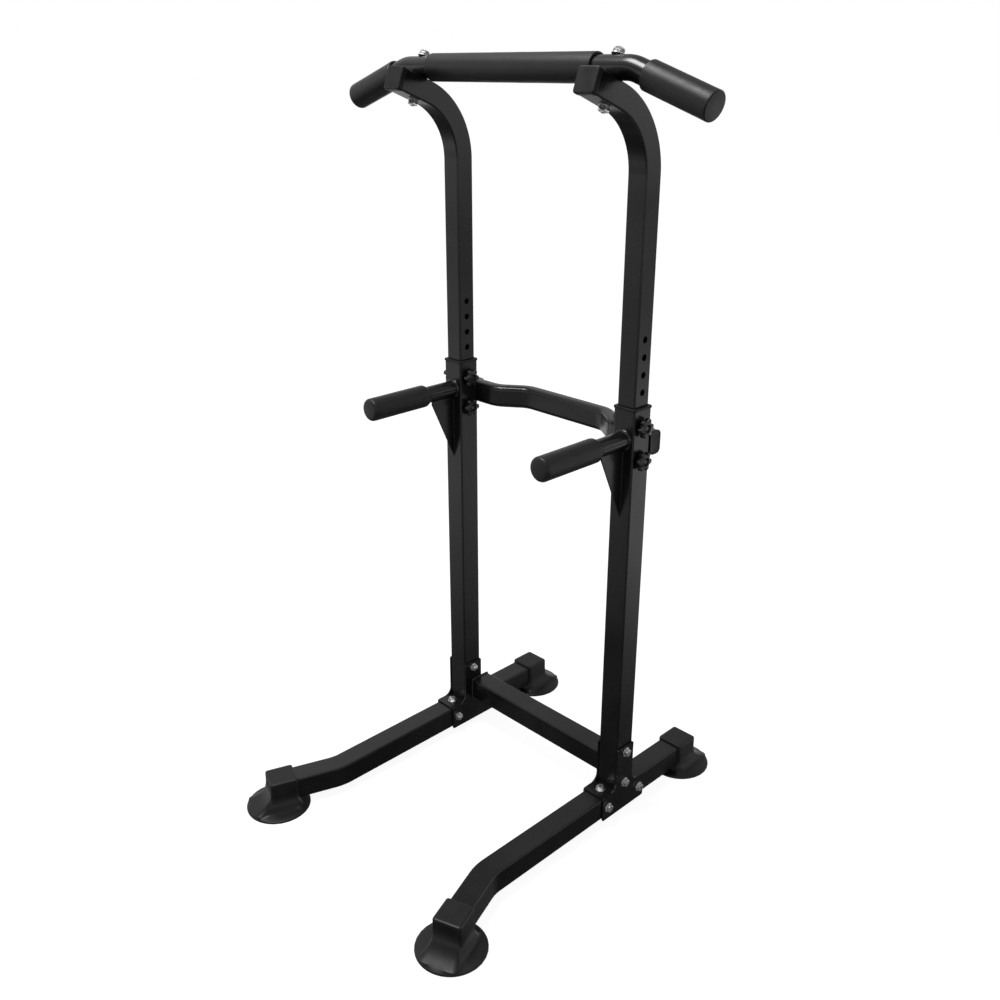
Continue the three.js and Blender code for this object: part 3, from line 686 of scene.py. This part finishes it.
def bushing(side, label):
    low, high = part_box(f"bushing_{label}")
    lip_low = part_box(f"lower_upright_{label}")[1].z + GAP
    bore = UPPER_WIDTH + 2 * GAP
    lip_width = high.x - low.x
    sleeve_width = LOWER_WIDTH - 2 * WALL - 2 * GAP
    steps = [
        (lip_width - 0.003, high.z, 0.006), (lip_width - 0.0008, high.z - 0.0007, 0.006),
        (lip_width, high.z - 0.002, 0.006), (lip_width, lip_low + 0.0008, 0.006),
        (lip_width - 0.0012, lip_low, 0.006), (sleeve_width, lip_low, 0.002), (sleeve_width, low.z, 0.002),
        (bore, low.z, TUBE_CORNER), (bore, high.z - 0.0012, TUBE_CORNER), (bore + 0.002, high.z, TUBE_CORNER),
    ]
    rings = []
    for width, z, corner in steps:
        flat = outline_rect(width, width, corner)
        rings.append([Vector((side * UPRIGHT.x + p.x, UPRIGHT.y + p.y, z)) for p in flat])
    piece(f"bushing_{label}", loft(rings, closed=True), PLASTIC, edge=0)


BEND = math.radians(BEND_ANGLE)
BEND_END = Vector((
    0, UPRIGHT.y - BEND_RADIUS * (1 - math.cos(BEND)), BEND_START_Z + BEND_RADIUS * math.sin(BEND)))
END_HEADING = Vector((0, -math.sin(BEND), math.cos(BEND)))
END_NORMAL = Vector((0, math.cos(BEND), math.sin(BEND)))
BAR_REST = (Vector((0, BAR.y, BAR.z)) - BEND_END).dot(END_HEADING)
BAR_ABOVE = (Vector((0, BAR.y, BAR.z)) - BEND_END).dot(END_NORMAL)
HOLE_RADIUS = 0.0078
HOLE_PITCH = 0.04
TOP_HOLE_Z = 1.275
HOLE_COUNT = 12


def on_end_run(side, along, above):
    return Vector((side * UPRIGHT.x, 0, 0)) + BEND_END + END_HEADING * along + END_NORMAL * above


def upper_upright(side, label):
    low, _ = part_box(f"upper_upright_{label}")
    route = Route((side * UPRIGHT.x, UPRIGHT.y, low.z), (0, 0, 1), X_AXIS)
    route.run(BEND_START_Z - low.z).turn(BEND_ANGLE, BEND_RADIUS, 32).run(END_RUN - WALL - 0.0015)
    tube = sweep(
        route, outline_rect(UPPER_WIDTH, UPPER_WIDTH, TUBE_CORNER),
        outline_rect(UPPER_WIDTH - 2 * WALL, UPPER_WIDTH - 2 * WALL, TUBE_CORNER - WALL))
    x = side * UPRIGHT.x
    cuts = []
    for i in range(HOLE_COUNT):
        z = TOP_HOLE_Z - i * HOLE_PITCH
        cuts.append(rod((x - UPPER_WIDTH, UPRIGHT.y, z), (x + UPPER_WIDTH, UPRIGHT.y, z), HOLE_RADIUS, 28))
    cuts.append(rod((x - UPPER_WIDTH, BAR.y, BAR.z), (x + UPPER_WIDTH, BAR.y, BAR.z), BAR_RADIUS + GAP, 64))
    piece(f"upper_upright_{label}", boolean(tube, cuts), STEEL, edge=0.0005)


def end_cap(side, label):
    """A moulded cap: a skirt around the tube's end and a slightly crowned face."""
    depth = 0.014
    width = extent(f"end_cap_{label}").x
    bore = UPPER_WIDTH + 2 * GAP
    start = END_RUN - depth
    steps = [
        (bore, start, 0.004), (width - 0.002, start, 0.006), (width, start + 0.001, 0.006),
        (width, END_RUN - 0.0028, 0.006), (width - 0.0008, END_RUN - 0.0012, 0.006),
        (width - 0.003, END_RUN - 0.0003, 0.0055), (width - 0.008, END_RUN, 0.004),
    ]
    inner = [(bore, END_RUN - WALL - 0.001, 0.004)]
    rings = []
    for size, along, corner in inner + steps:
        rings.append([on_end_run(side, along, p.y) + X_AXIS * p.x for p in outline_rect(size, size, corner)])
    piece(f"end_cap_{label}", loft(rings), PLASTIC, edge=0)


# ------------------------------------------------------------------ pull-up bar and grips

DROOP = math.radians(BAR_BEND_ANGLE)


def pullup_bar():
    reach = turn_reach(BAR_BEND_RADIUS, BAR_BEND_ANGLE)
    start = Vector((
        -BAR_BEND_X - BAR_END_RUN * math.cos(DROOP), BAR.y, BAR.z - BAR_END_RUN * math.sin(DROOP)))
    route = Route(start, (math.cos(DROOP), 0, math.sin(DROOP)), Y_AXIS)
    route.run(BAR_END_RUN - reach).turn(BAR_BEND_ANGLE, BAR_BEND_RADIUS, 16)
    route.run(2 * (BAR_BEND_X - reach)).turn(BAR_BEND_ANGLE, BAR_BEND_RADIUS, 16)
    route.run(BAR_END_RUN - reach)
    mesh = sweep(route, outline_circle(BAR_RADIUS, 64), outline_circle(BAR_RADIUS - WALL, 64))
    piece("pullup_bar", mesh, STEEL)


def foam_sleeve(node, start, direction, length, bore, radius, closed_end=0, mouth=0.0022, taper=0.003,
                round_end=0.0025):
    """A foam sleeve from its open end; its skin swells and sinks a little along its length."""
    steps = 26
    profile = [(bore, 0.0), (radius - mouth - 0.0006, 0.0), (radius - mouth, 0.0005)]
    for i in range(1, 6):
        part = math.sin(math.radians(90 * i / 5))
        profile.append((radius - mouth * (1 - part), 0.0005 + (taper - 0.0005) * i / 5))
    for i in range(1, steps):
        z = taper + (length - taper - round_end) * i / steps
        swell = 0.00018 * noise.noise(Vector((start[0] * 9, i * 0.7, radius * 90)))
        profile.append((radius + swell, z))
    for i in range(9):
        angle = math.radians(90 * i / 8)
        profile.append((
            radius - round_end * (1 - math.cos(angle)), length - round_end * (1 - math.sin(angle))))
    if closed_end:
        crown = length + 0.0006
        inner = length - closed_end
        profile += [(radius * 0.5, crown), (0.001, crown)]
        profile = [(0, inner), (bore - 0.002, inner)] + profile
    else:
        profile += [(bore, length)]
    grip = piece(node, aimed(start, direction, lathe(profile, 64)), FOAM, edge=0)


def bar_grips():
    low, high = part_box("centre_grip")
    radius = (high.z - low.z) / 2
    foam_sleeve("centre_grip", (low.x, BAR.y, BAR.z), X_AXIS, high.x - low.x, BAR_RADIUS + GAP, radius)
    start = 0.04
    for side, label in SIDES:
        down = Vector((side * math.cos(DROOP), 0, -math.sin(DROOP)))
        root = Vector((side * BAR_BEND_X, BAR.y, BAR.z)) + down * start
        length = BAR_END_RUN - start + GAP + 0.008
        foam_sleeve(f"end_grip_{label}", root, down, length, BAR_RADIUS + GAP, radius, 0.008, round_end=0.003)


def bar_bolts():
    for side, label in SIDES:
        seat = on_end_run(side, BAR_REST, BAR_ABOVE + BAR_RADIUS)
        grip = BAR_ABOVE + BAR_RADIUS + UPPER_WIDTH / 2
        bolt(f"bar_bolt_{label}", seat, END_NORMAL, grip, head=BAR_HEAD)


# ------------------------------------------------------------------ dip handles

COLLAR_RADIUS = 0.025


def dip_handle(side, label):
    x = side * UPRIGHT.x
    low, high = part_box(f"dip_handle_{label}")
    length = high.y - low.y
    root = (x, high.y, HANDLE_Z)
    tube = aimed(root, -Y_AXIS, lathe([
        (HANDLE_RADIUS - WALL, 0), (HANDLE_RADIUS, 0),
        (HANDLE_RADIUS, length), (HANDLE_RADIUS - WALL, length)], 56))
    ring = aimed(root, -Y_AXIS, lathe([
        (HANDLE_RADIUS - 0.001, 0.0), (COLLAR_RADIUS, 0.0), (COLLAR_RADIUS + 0.0005, 0.0015),
        (COLLAR_RADIUS - 0.0006, 0.0032), (HANDLE_RADIUS + 0.0012, 0.005),
        (HANDLE_RADIUS - 0.001, 0.0058)], 56))
    bead_loop = [Vector((x + p.x, high.y - 0.0052, HANDLE_Z + p.y))
                 for p in outline_circle(HANDLE_RADIUS + 0.0006, 40)]
    piece(f"dip_handle_{label}", joined(tube, ring, weld_bead(bead_loop, 0.0013)), STEEL, edge=0.0004)


def gusset(side, label):
    low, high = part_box(f"gusset_{label}")
    front_low = 1.014
    corner = 0.0025
    top = HANDLE_Z - HANDLE_RADIUS - GAP
    outline = [
        Vector((high.y, low.z)), Vector((high.y, top)), Vector((low.y + corner, top)),
        Vector((low.y, top - corner)), Vector((low.y, front_low)),
    ]
    thick = [[Vector((x, p.x, p.y)) for p in outline] for x in (low.x, high.x)]
    seams = []
    for across in (low.x, high.x):
        for start, end in (
                (Vector((across, high.y, low.z + 0.004)), Vector((across, high.y, top - 0.008))),
                (Vector((across, high.y - 0.012, top)), Vector((across, low.y + 0.004, top)))):
            seams.append(straight_seam(start, end))
    piece(f"gusset_{label}", joined(loft(thick), *seams), STEEL, edge=0.0006)


def straight_seam(start, end, radius=0.0013, pitch=0.0026):
    along = (end - start).normalized()
    across = X_AXIS
    lift = along.cross(across)
    count = max(3, round((end - start).length / (pitch / 3)))
    rings = []
    for i in range(count + 1):
        ripple = 1 + 0.16 * math.cos(2 * math.pi * i / 3) + 0.12 * noise.noise(start * 90 + along * i * 0.3)
        ripple *= 0.3 if i in (0, count) else 1
        centre = start.lerp(end, i / count)
        rings.append([centre + (across * p.x + lift * p.y) * ripple for p in outline_circle(radius, 8)])
    return loft(rings)


def dip_grip(side, label):
    low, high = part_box(f"dip_grip_{label}")
    radius = (high.z - low.z) / 2
    foam_sleeve(
        f"dip_grip_{label}", (side * UPRIGHT.x, high.y, HANDLE_Z), -Y_AXIS, high.y - low.y - 0.0008,
        HANDLE_RADIUS + GAP, radius, 0.008, mouth=0.0052, taper=0.012, round_end=0.0085)


# ------------------------------------------------------------------ back brace

BRACE_LOW, BRACE_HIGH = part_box("back_brace")
BRACE_HEIGHT = BRACE_HIGH.z - BRACE_LOW.z
BRACE_DEPTH = 0.036
BRACE_NEAR_Y = BRACE_LOW.y + BRACE_DEPTH / 2
BRACE_FAR_Y = BRACE_HIGH.y - BRACE_DEPTH / 2
BRACE_NEAR_X = 0.2
BRACE_FAR_X = 0.132
BRACE_BEND_RADIUS = 0.06
BRACE_CORNER = 0.012


def back_brace():
    run_x, run_y = BRACE_NEAR_X - BRACE_FAR_X, BRACE_FAR_Y - BRACE_NEAR_Y
    angle = math.degrees(math.atan2(run_y, run_x))
    reach = turn_reach(BRACE_BEND_RADIUS, angle)
    slope = math.hypot(run_x, run_y) - 2 * reach
    end = BRACE_HIGH.x
    route = Route((-end, BRACE_NEAR_Y, BRACE_Z), (1, 0, 0), Z_AXIS)
    route.run(end - BRACE_NEAR_X - reach).turn(angle, BRACE_BEND_RADIUS).run(slope)
    route.turn(-angle, BRACE_BEND_RADIUS).run(2 * (BRACE_FAR_X - reach)).turn(-angle, BRACE_BEND_RADIUS)
    route.run(slope).turn(angle, BRACE_BEND_RADIUS).run(end - BRACE_NEAR_X - reach)
    mesh = sweep(
        route, outline_rect(BRACE_HEIGHT, BRACE_DEPTH, BRACE_CORNER, arc=10),
        outline_rect(BRACE_HEIGHT - 2 * WALL, BRACE_DEPTH - 2 * WALL, BRACE_CORNER - WALL, arc=10))
    piece("back_brace", mesh, STEEL)


def brace_cap(side, label):
    """A plug whose flange has a raised rim around a sunken face."""
    start = BRACE_HIGH.x + GAP
    steps = [(-0.004, -0.01), (-0.004 - 2 * GAP, 0.0), (0.001, 0.0), (0.0012, 0.0012), (0.0012, 0.0018),
             (0.0002, 0.0028), (-0.005, 0.0028), (-0.006, 0.0021), (-0.03, 0.0021)]
    rings = []
    for grow, out in steps:
        widest = (BRACE_DEPTH + grow) / 2 - 1e-4
        corner = min(max(0.002, BRACE_CORNER + grow / 2), widest)
        flat = outline_rect(BRACE_HEIGHT + grow, BRACE_DEPTH + grow, corner, arc=8)
        rings.append([Vector((side * (start + out), BRACE_NEAR_Y + p.y, BRACE_Z + p.x)) for p in flat])
    piece(f"brace_cap_{label}", loft(rings), PLASTIC, edge=0)


def brace_bolts(side, label):
    for level in ("lower", "upper"):
        node = f"brace_bolt_{level}_{label}"
        centre = middle(node)
        bolt(node, (side * UPRIGHT.x, BRACE_LOW.y + BRACE_DEPTH, centre.z), Y_AXIS, shank=0.036)


# ------------------------------------------------------------------ star knobs

KNOB_LOBES = 6
KNOB_RADIUS = 0.0234


def star_ring(radius, z, depth=0.3):
    """Round lobes with scallops between them; depth is how far the scallops cut in."""
    ring = []
    count = KNOB_LOBES * 20
    for i in range(count):
        angle = 2 * math.pi * i / count
        lobe = 0.5 + 0.5 * math.tanh(1.5 * (math.cos(KNOB_LOBES * angle) + 0.15)) / math.tanh(1.5 * 1.15)
        reach = radius * (1 - depth * (1 - lobe))
        ring.append(Vector((reach * math.cos(angle), reach * math.sin(angle), z)))
    return ring


def star_knob(node):
    """A star grip on a short neck, with a recessed hub and the stud's end showing in it."""
    body = loft([
        star_ring(0.0095, 0.0002, 0), star_ring(0.0112, 0.0006, 0), star_ring(0.0115, 0.0030, 0),
        star_ring(0.0160, 0.0038, 0.12), star_ring(KNOB_RADIUS - 0.0014, 0.0042, 0.29),
        star_ring(KNOB_RADIUS - 0.0003, 0.0052), star_ring(KNOB_RADIUS, 0.0066),
        star_ring(KNOB_RADIUS, 0.0125),
        star_ring(KNOB_RADIUS - 0.0004, 0.0142), star_ring(KNOB_RADIUS - 0.0016, 0.0156, 0.29),
        star_ring(KNOB_RADIUS - 0.0038, 0.0163, 0.24), star_ring(0.0142, 0.0165, 0.08),
        star_ring(0.0122, 0.0166, 0), star_ring(0.0116, 0.0176, 0), star_ring(0.0104, 0.0178, 0),
        star_ring(0.0094, 0.0172, 0), star_ring(0.0088, 0.0122, 0), star_ring(0.0062, 0.0118, 0),
        star_ring(0.0058, 0.0138, 0), star_ring(0.0040, 0.0145, 0)])
    low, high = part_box(node)
    centre = (low + high) / 2
    upright_x = math.copysign(UPRIGHT.x, centre.x)
    direction = X_AXIS if centre.x > upright_x else -X_AXIS
    stud = threaded_rod((LOWER_WIDTH - UPPER_WIDTH) / 2 - 0.0006)
    spin = Matrix.Rotation(math.radians(90) + noise.noise(centre * 47) * 0.5, 4, "Z")
    seat = (upright_x + direction.x * LOWER_WIDTH / 2, UPRIGHT.y, centre.z)
    piece(node, aimed(seat, direction, moved(joined(body, stud), spin)), KNOB_PLASTIC, edge=0)


# ------------------------------------------------------------------ the whole object

for side, label in SIDES:
    rail(side, label)
    feet(side, label)
    bracket(side, label)
    base_bolts(side, label)
    lower_upright(side, label)
    bushing(side, label)
    upper_upright(side, label)
    end_cap(side, label)
    dip_handle(side, label)
    gusset(side, label)
    dip_grip(side, label)
    brace_cap(side, label)
    brace_bolts(side, label)
    for level in ("lower", "upper"):
        for where in ("inner", "outer"):
            star_knob(f"star_knob_{level}_{where}_{label}")
crossbar()
pullup_bar()
bar_grips()
bar_bolts()
back_brace()


# ------------------------------------------------------------------ stage

FLOOR_HALF = 30
SENSOR_WIDTH = 36
LENS = 37.52
CAMERA_FROM_UPRIGHTS = Vector((1.6924, -1.7921, 1.8254))
CAMERA_DOWN = 22.546
CAMERA_TURN = 45.66


def floor():
    """A pale floor that the camera sees and that catches soft shadows."""
    m = Nodes("studio_floor", 0.7, specular=0.1)
    m.colour(m.ramp(m.noise(3, 3), (0.3, grey(0.29)), (0.7, grey(0.31))))
    m.shader.inputs["Emission Color"].default_value = (1, 1, 1, 1)
    m.shader.inputs["Emission Strength"].default_value = 0.9
    half = FLOOR_HALF
    plane = bpy.data.objects.new("floor", new_mesh(
        [(-half, -half, 0), (half, -half, 0), (half, half, 0), (-half, half, 0)], [(0, 1, 2, 3)]))
    bpy.context.scene.collection.objects.link(plane)
    plane.data.materials.append(m.material)
    plane.visible_diffuse = False
    plane.visible_glossy = False


def softbox(name, position, target, width, height, watts):
    light = bpy.data.lights.new(name, "AREA")
    light.shape = "RECTANGLE"
    light.size, light.size_y = width, height
    light.energy = watts
    box = bpy.data.objects.new(name, light)
    bpy.context.scene.collection.objects.link(box)
    box.location = position
    box.rotation_mode = "QUATERNION"
    box.rotation_quaternion = (Vector(target) - Vector(position)).to_track_quat("-Z", "Y")


def camera():
    data = bpy.data.cameras.new("camera")
    data.sensor_width = SENSOR_WIDTH
    data.lens = LENS
    data.clip_start, data.clip_end = 0.05, 200
    view = bpy.data.objects.new("camera", data)
    bpy.context.scene.collection.objects.link(view)
    view.location = Vector((0, UPRIGHT.y, 0)) + CAMERA_FROM_UPRIGHTS
    view.rotation_euler = (math.radians(90 - CAMERA_DOWN), 0, math.radians(CAMERA_TURN))
    bpy.context.scene.camera = view


def world():
    """A studio: a white horizon, pale below it, dim overhead and dark further down, with a
    brighter panel to the left and a low one behind."""
    backdrop = bpy.data.worlds.new("studio")
    backdrop.use_nodes = True
    tree = backdrop.node_tree

    def node(kind, **settings):
        made = tree.nodes.new(kind)
        for name, value in settings.items():
            setattr(made, name, value)
        return made

    def ranged(value, start, end, low, high):
        made = node("ShaderNodeMapRange", interpolation_type="SMOOTHSTEP")
        for name, number in (("From Min", start), ("From Max", end), ("To Min", low), ("To Max", high)):
            made.inputs[name].default_value = number
        tree.links.new(value, made.inputs["Value"])
        return made.outputs["Result"]

    def math_of(operation, first, second):
        made = node("ShaderNodeMath", operation=operation)
        tree.links.new(first, made.inputs[0])
        tree.links.new(second, made.inputs[1])
        return made.outputs["Value"]

    way = node("ShaderNodeSeparateXYZ")
    tree.links.new(node("ShaderNodeTexCoord").outputs["Generated"], way.inputs["Vector"])
    x, y, z = way.outputs["X"], way.outputs["Y"], way.outputs["Z"]
    below = ranged(z, -0.56, -0.34, 0.05, 0.7)
    above = math_of("ADD", ranged(z, -0.36, -0.12, 0.0, -0.4), ranged(z, 0.3, 0.5, 0.0, 0.32))
    height = math_of("ADD", math_of("ADD", below, above), ranged(z, -0.92, -0.7, 0.5, 0.0))
    low_panel = math_of("MULTIPLY", ranged(y, 0.54, 0.8, 0.0, 1.9), ranged(z, -0.44, -0.2, 1.0, 0.1))
    panels = math_of("ADD", ranged(x, -0.76, -0.52, 1.3, 0.55), low_panel)
    level = math_of("MULTIPLY", height, panels)
    horizon = math_of("MULTIPLY", ranged(z, -0.09, -0.065, 0, 1), ranged(z, 0.2, 0.3, 1, 0))
    background = tree.nodes["Background"]
    background.inputs["Color"].default_value = (1, 1, 1, 1)
    tree.links.new(math_of("MAXIMUM", level, horizon), background.inputs["Strength"])
    bpy.context.scene.world = backdrop
    bpy.context.scene.view_settings.view_transform = "Standard"


STUDIO_CENTRE = Vector((0, 0.1, 1.0))
KEY_DIRECTION = Vector((-0.16, -0.29, 0.94))
KEY_DISTANCE = 3.2
KEY_SIZE = 1.1
KEY_WATTS = 75

floor()
world()
softbox("key", STUDIO_CENTRE + KEY_DIRECTION * KEY_DISTANCE, STUDIO_CENTRE, KEY_SIZE, KEY_SIZE, KEY_WATTS)
camera()
